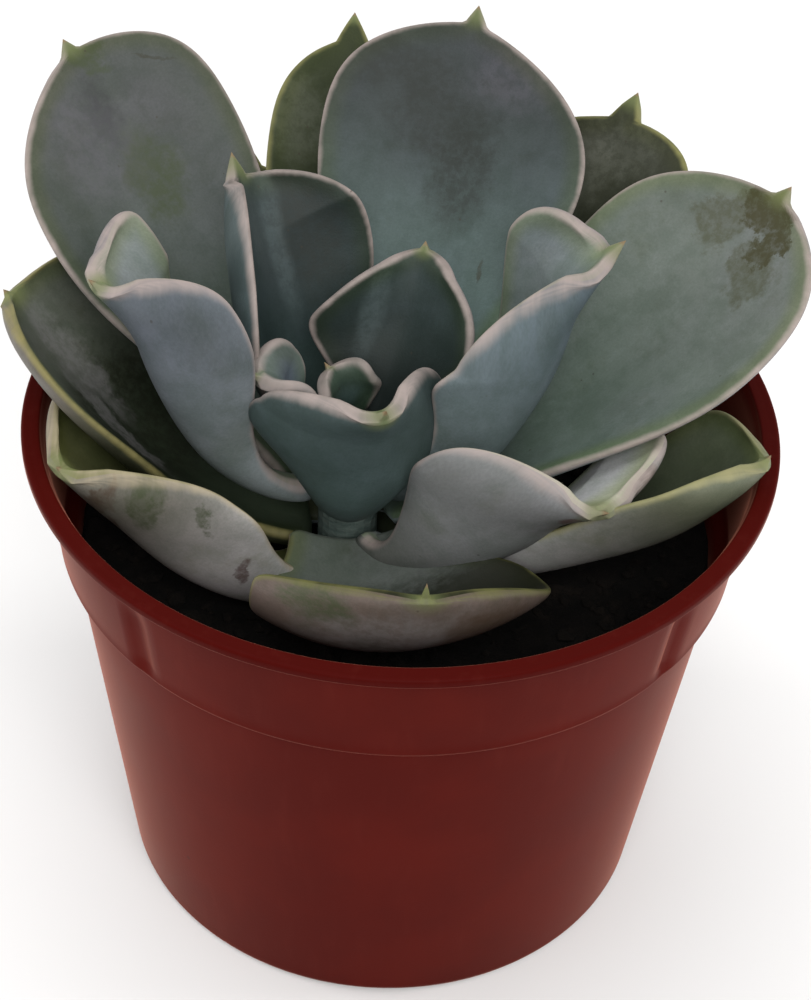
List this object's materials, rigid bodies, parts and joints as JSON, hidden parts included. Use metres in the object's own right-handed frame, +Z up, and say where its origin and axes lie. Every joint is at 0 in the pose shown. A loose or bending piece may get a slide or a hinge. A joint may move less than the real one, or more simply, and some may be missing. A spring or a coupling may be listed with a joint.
{
  "type": "potted ghost echeveria",
  "caption": "Fleshy rosette of cupped, pointed leaves on a short hidden stem, growing off centre in dark compost in a thin round plastic nursery pot with a flat lip and a collar band.",
  "frame": {"origin": "centre of the flat underside of the pot, on the pot's axis", "axes": "+Z up along the pot's axis; -Y towards the side the picture was taken from"},
  "size_m": [0.1102, 0.1165, 0.112],
  "materials": {
    "leaf": "waxy, powdery bloom, matt",
    "old_leaf": "worn bloom over darker green and brown, matt",
    "pot": "smooth moulded, satin",
    "soil": "loose and crumbly, matt",
    "stem": "corky, matt"
  },
  "bodies": {
    "root": {"pot": "pot", "soil": "soil", "stem": "stem", "leaf_big_back": "leaf", "leaf_big_left": "leaf", "leaf_big_right": "leaf", "leaf_rear_centre": "old_leaf", "leaf_rear_right": "old_leaf", "leaf_rear_left": "old_leaf", "leaf_middle_left": "leaf", "leaf_middle_back": "leaf", "leaf_middle_right": "leaf", "leaf_middle_front": "leaf", "leaf_heart_front": "leaf", "leaf_heart_back": "leaf", "leaf_heart_left": "leaf", "leaf_heart_core": "leaf", "leaf_outer_left": "old_leaf", "leaf_outer_front_left": "old_leaf", "leaf_outer_front": "old_leaf", "leaf_outer_right": "old_leaf", "leaf_low_back": "old_leaf", "leaf_low_right": "old_leaf"}
  },
  "joints": []
}
